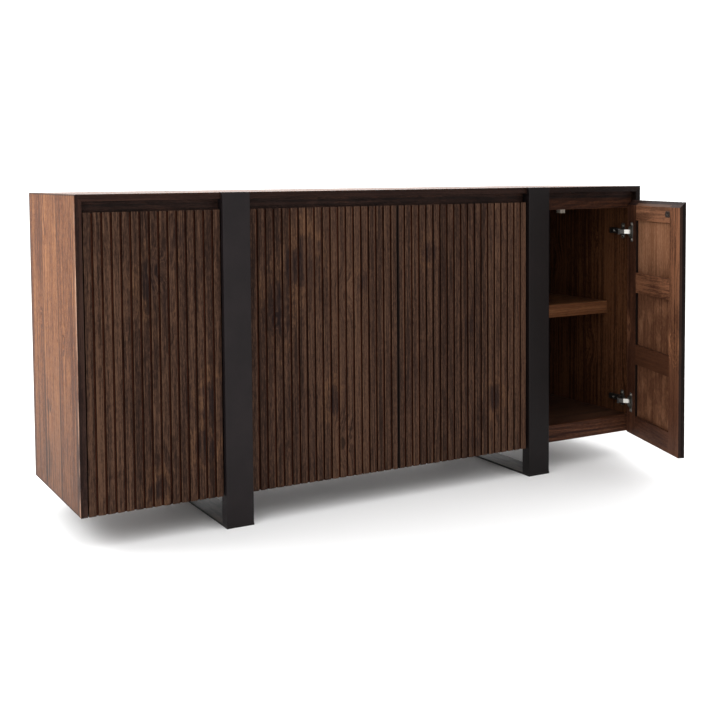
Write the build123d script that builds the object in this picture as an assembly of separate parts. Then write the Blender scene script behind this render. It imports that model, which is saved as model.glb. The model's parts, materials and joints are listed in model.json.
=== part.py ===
"""Sideboard buffet: a wooden case with four reeded doors on two welded steel leg frames.

Millimetres. +X is right, +Y is to the back and +Z is up. The origin is on the floor, under the case's middle.
"""

from build123d import *

import os
from dataclasses import dataclass

os.makedirs("parts", exist_ok=True)

# Case
WIDTH = 1800.0
DEPTH = 464.0
HEIGHT = 868.0
BOARD = 17.0  # thickness of the top, sides, floor, dividers and shelves
CASE_BOTTOM = 84.0  # height of the case's underside above the floor
RAIL_SETBACK = 22.0  # from the case's front plane to the front of the rails
RAIL_THICKNESS = 20.0
TOP_RAIL_HEIGHT = 52.0
BOTTOM_RAIL_HEIGHT = 51.0
BACK_SHEET = 6.0

# Leg frames
LEG_OFFSET = 488.0  # from the middle of the case to the middle of a leg frame
LEG_WIDTH = 76.0
TUBE_DEPTH = 34.0
TUBE_WALL = 3.0
TUBE_CORNER = 2.5
FLOOR_PLATE = 6.0
NOTCH_PLAY = 0.3
BOLT_RADIUS = 3.0
BOLT_HEAD = (5.0, 4.0)  # radius and height
FRONT_BOLT_HEIGHTS = (104.0, 470.0, 827.0)
REAR_BOLT_HEIGHTS = (200.0, 760.0)

# Shelves
SHELF_TOP = 491.0
SHELF_SETBACK = 132.0
SHELF_EDGE = (20.0, 39.5)  # thickness and height of the front edge
SHELF_PLAY = 1.0
PIN_RADIUS = 2.5
PIN_OUT = 10.0
PIN_IN = 8.0
PIN_SETBACKS = (180.0, 380.0)

# Doors
DOOR_GAP = 3.0
DOOR_TOP = 824.0
FRONT_BOARD = 12.0
FRAME_BOARD = 8.0
FRAME_WIDTH = 62.0
GROOVE_WIDTH = 5.75
GROOVE_DEPTH = 5.0
REED_EASE = 1.8
BEVEL_START = 2.0  # flat left at the front of the door's top edge
BEVEL_DROP = 16.0
OPEN_ANGLE = 71.5  # how far door 4 stands open

# Concealed hinges: places measured from the side's face and from the case's front plane
PIVOT = (8.0, 2.0)
HINGE_INSET = 100.0  # from the door's top and bottom edges to the hinges' centres
CUP_FROM_EDGE = 22.5
CUP_RADIUS = 17.5
CUP_DEPTH = 12.0
CUP_WALL = 1.2
CUP_RIM = 1.5
FLANGE = 1.2
WING_SHIFT = 9.5
WING_SIZE = (16.0, 62.0)
WING_CORNER = 5.0
WING_SCREW_HEIGHT = 24.0
ARM_PIVOT = (46.0, 27.5)
ARM_HEIGHT = 17.0
ARM_TAIL = (52.0, 106.0)  # where the arm's straight part starts and ends
ARM_TOP = 14.0
NOSE_RADIUS = 4.9
LINK_ROOM = 7.0  # radius of the gap that the link turns in
LINK_PLAY = 0.4
LINK_LENGTH = 34.0
LINK_HEIGHT = 12.8
LINK_WEB = 2.8
KNUCKLE_RADIUS = 3.0
LINK_TIP_RADIUS = 2.4
HINGE_PIN_RADIUS = 1.5
LINK_CLOSED_ANGLE = 22.5
LINK_RATIO = 0.425  # degrees that a link turns for each degree of its door
PLATE_WING = (7.0, 25.0, 2.0)  # half width, half height and thickness
PLATE_WING_CORNER = 6.0
PLATE_SPINE = (-13.0, 35.0)  # from the screws' line to the spine's ends
PLATE_SPINE_HALF_HEIGHT = 7.0
PLATE_TOP = 7.0  # the arm's seat, above the case's face
PLATE_SCREW_SETBACK = 57.0
PLATE_SCREW_HEIGHT = 16.0
PLATE_SCREW_DEPTH = 12.0
CLAMP_SCREW_SHIFT = 27.0
CLAMP_SCREW_START = 4.0
SCREW_RADIUS = 2.0
SCREW_HEAD = (4.0, 1.8)  # radius and height
WING_SCREW_HEAD = (4.0, 1.4)
CLAMP_SCREW_HEAD = (3.5, 1.6)
SCREW_TIP_GAP = 0.2
SCREW_PLAY = 0.05
CROSS = (4.2, 0.9, 1.0)  # length, width and depth of a screw head's cross recess
SOCKET = (2.9, 2.2)  # radius and depth of a bolt head's six-sided socket

# Magnetic catches
STRIKE_FROM_FREE_EDGE = 76.0
STRIKE_HEIGHT = 787.0
STRIKE_SIZE = (28.0, 18.0)
STRIKE_CORNER = 5.0
STRIKE_SCREW_RADIUS = 1.8
STRIKE_SCREW_HEAD = 3.4
CATCH_SIZE = (18.0, 20.0, 11.0)
CATCH_CORNER = 1.2
CATCH_GROOVE = (2.0, 5.0, 3.0)  # width, depth and the height left above it
CATCH_CLEARANCE = 0.4

FRONT = -DEPTH / 2
BACK = DEPTH / 2
RAIL_FRONT = FRONT + RAIL_SETBACK
RAIL_BACK = RAIL_FRONT + RAIL_THICKNESS
REAR_TUBE_FRONT = BACK - TUBE_DEPTH
SHEET_FRONT = REAR_TUBE_FRONT - BACK_SHEET
POST_FRONT = SHEET_FRONT - RAIL_THICKNESS
INNER_X = WIDTH / 2 - BOARD
INNER_TOP = HEIGHT - BOARD
FLOOR_TOP = CASE_BOTTOM + BOTTOM_RAIL_HEIGHT
TOP_RAIL_BOTTOM = INNER_TOP - TOP_RAIL_HEIGHT
LEG_NEAR = LEG_OFFSET - LEG_WIDTH / 2
LEG_FAR = LEG_OFFSET + LEG_WIDTH / 2
DOOR_THICKNESS = FRONT_BOARD + FRAME_BOARD
DOOR_HEIGHT = DOOR_TOP - CASE_BOTTOM
CUP_X = DOOR_GAP + CUP_FROM_EDGE
HINGE_HEIGHTS = (CASE_BOTTOM + HINGE_INSET, DOOR_TOP - HINGE_INSET)


@dataclass
class Door:
    """A door, hinged on a face of the case."""

    name: str
    face: float  # X of the face that its hinges are screwed to
    right: bool  # hinged on its right side
    width: float
    reeds: int
    rest_angle: float = 0.0


SIDE_DOOR = INNER_X - LEG_FAR - 2 * DOOR_GAP
CENTRE_DOOR = LEG_NEAR - 1.5 * DOOR_GAP
DOORS = [
    Door("door_1", -INNER_X, False, SIDE_DOOR, 15),
    Door("door_2", -LEG_NEAR, False, CENTRE_DOOR, 19),
    Door("door_3", LEG_NEAR, True, CENTRE_DOOR, 19),
    Door("door_4", INNER_X, True, SIDE_DOOR, 15, OPEN_ANGLE),
]

nodes = {}


def block(x0, x1, y0, y1, z0, z1):
    """A box between two corners."""
    low = (Align.MIN, Align.MIN, Align.MIN)
    return Pos(x0, y0, z0) * Box(x1 - x0, y1 - y0, z1 - z0, align=low)


def prism(points, direction, length):
    """A closed outline of 3-D points, extruded along a direction."""
    return extrude(make_face(Polyline(*points, close=True)), amount=length, dir=direction)


def rod(x, y, z, radius, length, turn):
    """A cylinder that starts at a point; turn takes +Z to its direction."""
    return Pos(x, y, z) * turn * Cylinder(radius, length, align=(Align.CENTER, Align.CENTER, Align.MIN))


ALONG_X = Rot(0, 90, 0)
AGAINST_X = Rot(0, -90, 0)
ALONG_Y = Rot(-90, 0, 0)
AGAINST_Y = Rot(90, 0, 0)


def cross_recess(x, y, z, turn):
    """The cross that a screwdriver fits, cut down from a point on a head; turn takes +Z out of the head."""
    long, wide, deep = CROSS
    down = (Align.CENTER, Align.CENTER, Align.MAX)
    bars = Box(long, wide, deep, align=down) + Box(wide, long, deep, align=down)
    return Pos(x, y, z) * turn * bars


def socket(x, y, z, turn):
    """The six-sided socket of a bolt head, cut down from a point on it; turn takes +Z out of the head."""
    radius, deep = SOCKET
    return Pos(x, y, z) * turn * extrude(RegularPolygon(radius, 6), amount=-deep)


def add(name, *shapes):
    """Keep the solids of some shapes as one node."""
    solids = [solid for shape in shapes for solid in shape.solids()]
    nodes[name] = solids[0] if len(solids) == 1 else Compound(children=solids)


def both_sides(shape):
    """A shape and its mirror image on the other side of the case."""
    return [mirror(shape, about=Plane.YZ), shape]


def on_case(shape, door):
    """Move a hinge part from a face's own frame (x out of the face, y from the front plane) to that face."""
    turned = mirror(shape, about=Plane.YZ) if door.right else shape
    return Pos(door.face, FRONT, 0) * turned


def on_door(shape, door):
    """Move a part of the closed door from the same frame to where the door stands."""
    side = -1 if door.right else 1
    axis = Axis((door.face + side * PIVOT[0], FRONT + PIVOT[1], 0), (0, 0, -side))
    return on_case(shape, door).rotate(axis, door.rest_angle)


# ---------------------------------------------------------------- case


def plate_screw(z, play=0.0):
    """A screw that holds a mounting plate to the case, or its hole."""
    shank = rod(
        -PLATE_SCREW_DEPTH,
        PLATE_SCREW_SETBACK,
        z,
        SCREW_RADIUS + play,
        PLATE_SCREW_DEPTH + PLATE_WING[2],
        ALONG_X,
    )
    head = rod(PLATE_WING[2], PLATE_SCREW_SETBACK, z, SCREW_HEAD[0] + play, SCREW_HEAD[1], ALONG_X)
    return shank + head


def hinge_screw_holes(door):
    """The holes that a door's mounting plate screws need in the case."""
    heights = [z + side * PLATE_SCREW_HEIGHT for z in HINGE_HEIGHTS for side in (-1, 1)]
    return [on_case(plate_screw(z, SCREW_PLAY), door) for z in heights]


def shelf_pin(face, side, y, play=0.0):
    """A shelf pin in a face that looks along side, or its hole."""
    start = face - side * PIN_IN
    turn = ALONG_X if side > 0 else AGAINST_X
    z = SHELF_TOP - BOARD - PIN_RADIUS
    return rod(start, FRONT + y, z, PIN_RADIUS + play, PIN_IN + PIN_OUT, turn)


# each shelf's two supporting faces: X of the face and the way it looks
SHELF_FACES = {
    "shelf_left": ((-INNER_X, 1), (-LEG_FAR, -1)),
    "shelf_centre": ((-LEG_NEAR, 1), (LEG_NEAR, -1)),
    "shelf_right": ((LEG_FAR, 1), (INNER_X, -1)),
}
SUPPORTS = [support for faces in SHELF_FACES.values() for support in faces]
PIN_PLACES = [(face, side, y) for face, side in SUPPORTS for y in PIN_SETBACKS]
PIN_HOLES = [shelf_pin(face, side, y, SCREW_PLAY) for face, side, y in PIN_PLACES]
SCREW_HOLES = [hole for door in DOORS for hole in hinge_screw_holes(door)]


def mitred(points):
    """A board of the case's full depth, with an outline in X and Z."""
    return prism([(x, FRONT, z) for x, z in points], (0, 1, 0), DEPTH)


def top_panel():
    half = WIDTH / 2
    board = mitred([(-half, HEIGHT), (half, HEIGHT), (INNER_X, INNER_TOP), (-INNER_X, INNER_TOP)])
    near, far = LEG_NEAR - NOTCH_PLAY, LEG_FAR + NOTCH_PLAY
    front = block(near, far, FRONT - 1, RAIL_FRONT + NOTCH_PLAY, INNER_TOP - 1, HEIGHT + 1)
    rear = block(near, far, REAR_TUBE_FRONT - NOTCH_PLAY, BACK + 1, INNER_TOP - 1, HEIGHT + 1)
    return board - both_sides(front) - both_sides(rear)


def side_panel():
    """The right side panel."""
    half = WIDTH / 2
    return mitred([(half, CASE_BOTTOM), (half, HEIGHT), (INNER_X, INNER_TOP), (INNER_X, CASE_BOTTOM)])


left_side, right_side = both_sides(side_panel())
add("side_panel_left", left_side - PIN_HOLES - SCREW_HOLES)
add("side_panel_right", right_side - PIN_HOLES - SCREW_HOLES)
add("top_panel", top_panel())
add("bottom_panel", block(-INNER_X, INNER_X, RAIL_BACK, SHEET_FRONT, FLOOR_TOP - BOARD, FLOOR_TOP))

DIVIDER_FACES = {"left": (-LEG_FAR, -LEG_NEAR - BOARD), "right": (LEG_NEAR, LEG_FAR - BOARD)}
for side, faces in DIVIDER_FACES.items():
    pair = [block(x, x + BOARD, RAIL_BACK, POST_FRONT, FLOOR_TOP, INNER_TOP) for x in faces]
    add(f"dividers_{side}", *[divider - PIN_HOLES - SCREW_HOLES for divider in pair])

edge_front = FRONT + SHELF_SETBACK
edge_back = edge_front + SHELF_EDGE[0]
edges = []
for name, ((left_face, _), (right_face, _)) in SHELF_FACES.items():
    x0, x1 = left_face + SHELF_PLAY, right_face - SHELF_PLAY
    add(name, block(x0, x1, edge_back, SHEET_FRONT - SHELF_PLAY, SHELF_TOP - BOARD, SHELF_TOP))
    edges.append(block(x0, x1, edge_front, edge_back, SHELF_TOP - SHELF_EDGE[1], SHELF_TOP))
add("shelf_front_edges", *edges)
add("shelf_pins", *[shelf_pin(face, side, y) for face, side, y in PIN_PLACES])

# ---------------------------------------------------------------- leg frames


def leg_bolt(y, z, length, play=0.0):
    """A bolt that runs to -Y or +Y from its head, or its hole."""
    turn, back = (ALONG_Y, AGAINST_Y) if length > 0 else (AGAINST_Y, ALONG_Y)
    shank = rod(LEG_OFFSET, y, z, BOLT_RADIUS + play, abs(length), turn)
    head = rod(LEG_OFFSET, y, z, BOLT_HEAD[0] + play, BOLT_HEAD[1], back)
    return shank + head


def upright(y0):
    """A right-hand tube, open at the floor plate and closed at the top."""
    outer = block(LEG_NEAR, LEG_FAR, y0, y0 + TUBE_DEPTH, FLOOR_PLATE, HEIGHT)
    outer = fillet(outer.edges().filter_by(Axis.Z), TUBE_CORNER)
    inner = block(
        LEG_NEAR + TUBE_WALL,
        LEG_FAR - TUBE_WALL,
        y0 + TUBE_WALL,
        y0 + TUBE_DEPTH - TUBE_WALL,
        FLOOR_PLATE - 1,
        HEIGHT - TUBE_WALL,
    )
    return outer - inner


front_reach = -(RAIL_THICKNESS + 2 * TUBE_WALL)
rear_reach = RAIL_THICKNESS + BACK_SHEET + 2 * TUBE_WALL
front_head = RAIL_BACK + BOLT_HEAD[1]
rear_head = POST_FRONT - BOLT_HEAD[1]
front_sockets = [socket(LEG_OFFSET, front_head, z, ALONG_Y) for z in FRONT_BOLT_HEIGHTS]
rear_sockets = [socket(LEG_OFFSET, rear_head, z, AGAINST_Y) for z in REAR_BOLT_HEIGHTS]
front_bolts = [leg_bolt(RAIL_BACK, z, front_reach) - front_sockets for z in FRONT_BOLT_HEIGHTS]
rear_bolts = [leg_bolt(POST_FRONT, z, rear_reach) - rear_sockets for z in REAR_BOLT_HEIGHTS]
front_holes = [leg_bolt(RAIL_BACK, z, front_reach, SCREW_PLAY) for z in FRONT_BOLT_HEIGHTS]
rear_holes = [leg_bolt(POST_FRONT, z, rear_reach, SCREW_PLAY) for z in REAR_BOLT_HEIGHTS]
all_front_holes = [hole for part in front_holes for hole in both_sides(part)]
all_rear_holes = [hole for part in rear_holes for hole in both_sides(part)]

front_uprights = both_sides(upright(RAIL_FRONT - TUBE_DEPTH) - front_holes)
rear_uprights = both_sides(upright(REAR_TUBE_FRONT) - rear_holes)
plates = both_sides(block(LEG_NEAR, LEG_FAR, RAIL_FRONT - TUBE_DEPTH, BACK, 0, FLOOR_PLATE))
mullion = block(LEG_NEAR, LEG_FAR, RAIL_FRONT, RAIL_BACK, FLOOR_TOP, TOP_RAIL_BOTTOM)
post = block(LEG_NEAR, LEG_FAR, POST_FRONT, SHEET_FRONT, FLOOR_TOP, INNER_TOP)
for index, side in enumerate(("left", "right")):
    add(f"front_upright_{side}", front_uprights[index])
    add(f"rear_upright_{side}", rear_uprights[index])
    add(f"floor_plate_{side}", plates[index])
add("mullions", *both_sides(mullion - front_holes))
add("rear_posts", *both_sides(post - rear_holes))
add("leg_bolts", *[bolt for part in front_bolts + rear_bolts for bolt in both_sides(part)])

top_rail = block(-INNER_X, INNER_X, RAIL_FRONT, RAIL_BACK, TOP_RAIL_BOTTOM, INNER_TOP)
bottom_rail = block(-INNER_X, INNER_X, RAIL_FRONT, RAIL_BACK, CASE_BOTTOM, FLOOR_TOP)
back_panel = block(-INNER_X, INNER_X, SHEET_FRONT, REAR_TUBE_FRONT, CASE_BOTTOM, INNER_TOP)
add("top_rail", top_rail - all_front_holes)
add("bottom_rail", bottom_rail - all_front_holes)
add("back_panel", back_panel - all_rear_holes)

# ---------------------------------------------------------------- doors


def bevel(width):
    """What the finger pull takes off the top of a door: a slope that falls to the rear."""
    y0, y1 = BEVEL_START, DOOR_THICKNESS
    low = DOOR_TOP - BEVEL_DROP
    points = [(0, y0, DOOR_TOP), (0, y1 + 1, low - 1), (0, y1 + 1, DOOR_TOP + 1), (0, y0, DOOR_TOP + 1)]
    return prism(points, (1, 0, 0), width + 2 * DOOR_GAP)


def cup_pockets():
    """The round pockets that a door's hinge cups sit in."""
    depth = DOOR_THICKNESS - CUP_DEPTH
    return [rod(CUP_X, depth, z, CUP_RADIUS, CUP_DEPTH + 1, ALONG_Y) for z in HINGE_HEIGHTS]


def reeded_board(door):
    """The door's front: a board with upright reeds between square grooves."""
    pitch = (door.width + GROOVE_WIDTH) / door.reeds
    low = (Align.MIN, Align.MIN)
    outline = Pos(DOOR_GAP, 0) * Rectangle(door.width, FRONT_BOARD, align=low)
    for number in range(1, door.reeds):
        x = DOOR_GAP + number * pitch - GROOVE_WIDTH
        outline -= Pos(x, 0) * Rectangle(GROOVE_WIDTH, GROOVE_DEPTH, align=low)
    outline = fillet(outline.vertices().group_by(Axis.Y)[0], REED_EASE)
    board = Pos(0, 0, CASE_BOTTOM) * extrude(outline, amount=DOOR_HEIGHT)
    return board - cup_pockets() - bevel(door.width)


def frame_piece(x0, x1, z0, z1):
    return block(x0, x1, FRONT_BOARD, DOOR_THICKNESS, z0, z1)


def frame_rails(door):
    """Four rails that leave three equal recessed panels."""
    x0 = DOOR_GAP + FRAME_WIDTH
    x1 = DOOR_GAP + door.width - FRAME_WIDTH
    panel = (DOOR_HEIGHT - 4 * FRAME_WIDTH) / 3
    rails = []
    for number in range(4):
        z = CASE_BOTTOM + number * (panel + FRAME_WIDTH)
        rails.append(frame_piece(x0, x1, z, z + FRAME_WIDTH))
    rails[-1] -= bevel(door.width)
    return rails


def wing_screw(x, z, play=0.0):
    """A screw of a cup's wing, or its hole."""
    start = FRONT_BOARD + SCREW_TIP_GAP
    seat = DOOR_THICKNESS + FLANGE
    radius, height = WING_SCREW_HEAD
    shank = rod(x, start, z, SCREW_RADIUS + play, seat - start + play, ALONG_Y)
    return shank + rod(x, seat, z, radius + play, height, ALONG_Y)


def tab(x, z, size, corner):
    """A thin plate with rounded corners on the door's inner face."""
    wide, tall = size
    y0, y1 = DOOR_THICKNESS, DOOR_THICKNESS + FLANGE
    plate = block(x - wide / 2, x + wide / 2, y0, y1, z - tall / 2, z + tall / 2)
    return fillet(plate.edges().filter_by(Axis.Y), corner)


def cup(z):
    """A hinge cup with its rim and its upright wing."""
    x = CUP_X + WING_SHIFT
    bottom = DOOR_THICKNESS - CUP_DEPTH
    body = rod(CUP_X, bottom, z, CUP_RADIUS - SCREW_PLAY, CUP_DEPTH, ALONG_Y)
    rim = rod(CUP_X, DOOR_THICKNESS, z, CUP_RADIUS + CUP_RIM, FLANGE, ALONG_Y)
    hollow = rod(CUP_X, bottom + CUP_WALL, z, CUP_RADIUS - CUP_WALL, CUP_DEPTH + 1, ALONG_Y)
    holes = [wing_screw(x, z + side * WING_SCREW_HEIGHT, SCREW_PLAY) for side in (-1, 1)]
    return body + rim + tab(x, z, WING_SIZE, WING_CORNER) - hollow - holes


def strike_plate(x):
    return tab(x, STRIKE_HEIGHT, STRIKE_SIZE, STRIKE_CORNER) - strike_screw(x, SCREW_PLAY)


def strike_screw(x, play=0.0):
    """The strike plate's screw, flush with the plate, or its hole."""
    start = FRONT_BOARD + SCREW_TIP_GAP
    shank = rod(x, start, STRIKE_HEIGHT, STRIKE_SCREW_RADIUS + play, FRAME_BOARD, ALONG_Y)
    return shank + rod(x, DOOR_THICKNESS, STRIKE_HEIGHT, STRIKE_SCREW_HEAD + play, FLANGE, ALONG_Y)


def driven_wing_screw(x, z):
    head = DOOR_THICKNESS + FLANGE + WING_SCREW_HEAD[1]
    return wing_screw(x, z) - cross_recess(x, head, z, ALONG_Y)


def driven_strike_screw(x):
    return strike_screw(x) - cross_recess(x, DOOR_THICKNESS + FLANGE, STRIKE_HEIGHT, ALONG_Y)


def hinge_link(door, z):
    """The link between the arm's pin and the cup, turned to where the door stands."""
    angle = LINK_CLOSED_ANGLE + LINK_RATIO * door.rest_angle
    knuckle = Cylinder(KNUCKLE_RADIUS, LINK_HEIGHT)
    tip = Pos(LINK_LENGTH, 0, 0) * Cylinder(LINK_TIP_RADIUS, LINK_HEIGHT)
    web = Pos(LINK_LENGTH / 2, 0, 0) * Box(LINK_LENGTH, LINK_WEB, LINK_HEIGHT)
    bore = Cylinder(HINGE_PIN_RADIUS + SCREW_PLAY, LINK_HEIGHT + 1)
    return Pos(*ARM_PIVOT, z) * Rot(0, 0, 180 + angle) * (knuckle + tip + web - bore)


def make_door(door):
    name = door.name
    free_edge = DOOR_GAP + door.width
    strike_x = free_edge - STRIKE_FROM_FREE_EDGE
    wing_x = CUP_X + WING_SHIFT
    screw_places = [(wing_x, z + side * WING_SCREW_HEIGHT) for z in HINGE_HEIGHTS for side in (-1, 1)]
    screw_holes = [wing_screw(x, z, SCREW_PLAY) for x, z in screw_places]
    hinge_stile = frame_piece(DOOR_GAP, DOOR_GAP + FRAME_WIDTH, CASE_BOTTOM, DOOR_TOP)
    free_stile = frame_piece(free_edge - FRAME_WIDTH, free_edge, CASE_BOTTOM, DOOR_TOP)
    rails = frame_rails(door)
    rails[-1] -= strike_screw(strike_x, SCREW_PLAY)
    pieces = {
        "front": [reeded_board(door)],
        "hinge_stile": [hinge_stile - cup_pockets() - screw_holes - bevel(door.width)],
        "free_stile": [free_stile - bevel(door.width)],
        "rails": rails,
        "hinge_cups": [cup(z) for z in HINGE_HEIGHTS],
        "strike_plate": [strike_plate(strike_x)],
        "screws": [driven_wing_screw(x, z) for x, z in screw_places] + [driven_strike_screw(strike_x)],
    }
    for piece, shapes in pieces.items():
        add(f"{name}_{piece}", *[on_door(shape, door) for shape in shapes])
    add(f"{name}_hinge_links", *[on_case(hinge_link(door, z), door) for z in HINGE_HEIGHTS])


for door in DOORS:
    make_door(door)

# ---------------------------------------------------------------- hinge parts and catches on the case


def mounting_plate(z):
    """A cross-shaped plate: an upright wing with two screws, and a spine that the arm sits on."""
    y = PLATE_SCREW_SETBACK
    half_width, half_height, thickness = PLATE_WING
    wing = block(0, thickness, y - half_width, y + half_width, z - half_height, z + half_height)
    wing = fillet(wing.edges().filter_by(Axis.X), PLATE_WING_CORNER)
    start, end = PLATE_SPINE
    half = PLATE_SPINE_HALF_HEIGHT
    spine = block(0, PLATE_TOP, y + start, y + end, z - half, z + half)
    holes = [plate_screw(z + side * PLATE_SCREW_HEIGHT, SCREW_PLAY) for side in (-1, 1)]
    return wing + spine - holes - clamp_screw(z, SCREW_PLAY)


def clamp_screw(z, play=0.0):
    """The screw that clamps an arm to its plate, or its hole."""
    y = PLATE_SCREW_SETBACK + CLAMP_SCREW_SHIFT
    radius, height = CLAMP_SCREW_HEAD
    length = ARM_TOP - CLAMP_SCREW_START
    shank = rod(CLAMP_SCREW_START, y, z, SCREW_RADIUS + play, length, ALONG_X)
    return shank + rod(ARM_TOP, y, z, radius + play, height, ALONG_X)


def hinge_arm(z):
    """A cranked arm from the mounting plate to the link's pin, with two cheeks around the link."""
    x, y = ARM_PIVOT
    bend, tail = ARM_TAIL
    side = NOSE_RADIUS / 2**0.5  # the nose's edge, across the sloping part
    low = z - ARM_HEIGHT / 2
    outline = [
        (PLATE_TOP, tail, low),
        (ARM_TOP, tail, low),
        (ARM_TOP, bend + PLATE_TOP, low),
        (x + side, y + side, low),
        (x - side, y - side, low),
        (PLATE_TOP, bend, low),
    ]
    arm = prism(outline, (0, 0, 1), ARM_HEIGHT)
    nose = Pos(x, y, z) * Cylinder(NOSE_RADIUS, ARM_HEIGHT)
    slot = Pos(x, y, z) * Cylinder(LINK_ROOM, LINK_HEIGHT + LINK_PLAY)
    return arm + nose - slot - hinge_pin(z, SCREW_PLAY) - clamp_screw(z, SCREW_PLAY)


def hinge_pin(z, play=0.0):
    return Pos(*ARM_PIVOT, z) * Cylinder(HINGE_PIN_RADIUS + play, ARM_HEIGHT)


def catch(door):
    """A magnetic catch under the top rail, facing the door's strike plate."""
    wide, deep, tall = CATCH_SIZE
    width, depth, roof = CATCH_GROOVE
    x = DOOR_GAP + door.width - STRIKE_FROM_FREE_EDGE
    y = DOOR_THICKNESS + FLANGE + CATCH_CLEARANCE
    low = TOP_RAIL_BOTTOM - tall
    body = block(x - wide / 2, x + wide / 2, y, y + deep, low, TOP_RAIL_BOTTOM)
    groove = block(x - width / 2, x + width / 2, y - 1, y + depth, low - 1, TOP_RAIL_BOTTOM - roof)
    return fillet(body.edges().filter_by(Axis.Z), CATCH_CORNER) - groove


hinges = [(door, z) for door in DOORS for z in HINGE_HEIGHTS]
add("hinge_mounting_plates", *[on_case(mounting_plate(z), door) for door, z in hinges])
add("hinge_arms", *[on_case(hinge_arm(z), door) for door, z in hinges])
add("hinge_pins", *[on_case(hinge_pin(z), door) for door, z in hinges])
plate_screws = []
for door, z in hinges:
    for height in (z - PLATE_SCREW_HEIGHT, z + PLATE_SCREW_HEIGHT):
        recess = cross_recess(PLATE_WING[2] + SCREW_HEAD[1], PLATE_SCREW_SETBACK, height, ALONG_X)
        plate_screws.append(on_case(plate_screw(height) - recess, door))
    recess = cross_recess(ARM_TOP + CLAMP_SCREW_HEAD[1], PLATE_SCREW_SETBACK + CLAMP_SCREW_SHIFT, z, ALONG_X)
    plate_screws.append(on_case(clamp_screw(z) - recess, door))
add("hinge_plate_screws", *plate_screws)
add("magnetic_catches", *[on_case(catch(door), door) for door in DOORS])

for name, shape in nodes.items():
    export_step(shape, f"parts/{name}.step")
print(len(nodes), "nodes")
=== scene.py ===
"""Looks of the sideboard buffet: materials on the CAD parts, a pale floor, soft light and a camera.

Metres, in the row frame: +X is right, +Y is to the back, +Z is up. The origin is on the floor under the case.
"""

import json
from math import cos, radians, sin

import bpy
from mathutils import Matrix, Vector


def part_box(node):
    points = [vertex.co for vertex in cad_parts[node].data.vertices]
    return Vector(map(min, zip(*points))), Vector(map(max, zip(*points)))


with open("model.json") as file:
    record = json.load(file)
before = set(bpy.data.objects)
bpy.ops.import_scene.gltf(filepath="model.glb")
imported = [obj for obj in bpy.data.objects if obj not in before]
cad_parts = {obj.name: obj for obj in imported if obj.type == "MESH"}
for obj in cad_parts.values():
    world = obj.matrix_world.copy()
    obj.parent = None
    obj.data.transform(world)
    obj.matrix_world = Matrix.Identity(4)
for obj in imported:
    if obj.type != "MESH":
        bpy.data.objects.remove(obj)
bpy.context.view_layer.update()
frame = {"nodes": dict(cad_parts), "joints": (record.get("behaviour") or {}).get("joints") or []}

NODES = frame["nodes"]
FIELDS = "XYZ"
SHARP = 0.001  # the width of a stain's sharpest edge, in metres


def tone(red, green, blue):
    """A linear colour from sRGB values of 0 to 255."""
    parts = [value / 255 for value in (red, green, blue)]
    return [p / 12.92 if p <= 0.04045 else ((p + 0.055) / 1.055) ** 2.4 for p in parts] + [1.0]


# ---------------------------------------------------------------- shader graphs

MIX_COLOUR_INPUTS = (0, 6, 7)  # of a Mix node: the factor and the two colours
MIX_COLOUR_OUTPUT = 2


class Graph:
    """Builds shader nodes. A value is a number, a colour, a vector or another node's output."""

    def __init__(self, tree):
        """A graph that adds its nodes to a node tree."""
        self.tree = tree

    def put(self, socket, value):
        """Link an output to a socket, or set the socket's own value."""
        if isinstance(value, bpy.types.NodeSocket):
            self.tree.links.new(value, socket)
        else:
            socket.default_value = value

    def node(self, kind, inputs=None, **settings):
        """A shader node with its inputs connected and its settings made."""
        made = self.tree.nodes.new("ShaderNode" + kind)
        for name, value in settings.items():
            setattr(made, name, value)
        for name, value in (inputs or {}).items():
            self.put(made.inputs[name], value)
        return made

    def math(self, operation, *values, clamp=False):
        """One Math node."""
        made = self.node("Math", operation=operation, use_clamp=clamp)
        for socket, value in zip(made.inputs, values):
            self.put(socket, value)
        return made.outputs[0]

    def add(self, *values):
        """The values' sum."""
        total = values[0]
        for value in values[1:]:
            total = self.math("ADD", total, value)
        return total

    def times(self, *values):
        """The values' product."""
        total = values[0]
        for value in values[1:]:
            total = self.math("MULTIPLY", total, value)
        return total

    def vector(self, operation, *values):
        """One Vector Math node."""
        made = self.node("VectorMath", operation=operation)
        for socket, value in zip(made.inputs, values):
            self.put(socket, value)
        return made.outputs["Value" if operation in ("LENGTH", "DOT_PRODUCT") else "Vector"]

    def parts(self, vector):
        """A vector's three numbers."""
        return self.node("SeparateXYZ", {"Vector": vector}).outputs

    def join(self, x, y, z):
        """A vector of three numbers."""
        return self.node("CombineXYZ", {"X": x, "Y": y, "Z": z}).outputs[0]

    def step(self, value, low, high):
        """0 below low and 1 above high, smooth in between; low may be above high."""
        inputs = {"Value": value, "From Min": low, "From Max": high}
        return self.node("MapRange", inputs, interpolation_type="SMOOTHSTEP").outputs["Result"]

    def spread(self, value, low, high):
        """0 to 1 as low to high."""
        return self.node("MapRange", {"Value": value, "To Min": low, "To Max": high}).outputs["Result"]

    def noise(self, vector, scale, detail=2.0, roughness=0.5, output="Fac"):
        """Noise with scale bumps in a metre: one number, or one for each axis."""
        scales = scale if isinstance(scale, tuple) else (scale,) * 3
        stretched = self.vector("MULTIPLY", vector, scales)
        inputs = {"Vector": stretched, "Scale": 1.0, "Detail": detail, "Roughness": roughness}
        return self.node("TexNoise", inputs).outputs[output]

    def mix(self, factor, first, second):
        """The first colour at factor 0 and the second at 1."""
        made = self.node("Mix", data_type="RGBA")
        for index, value in zip(MIX_COLOUR_INPUTS, (factor, first, second)):
            self.put(made.inputs[index], value)
        return made.outputs[MIX_COLOUR_OUTPUT]


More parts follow.
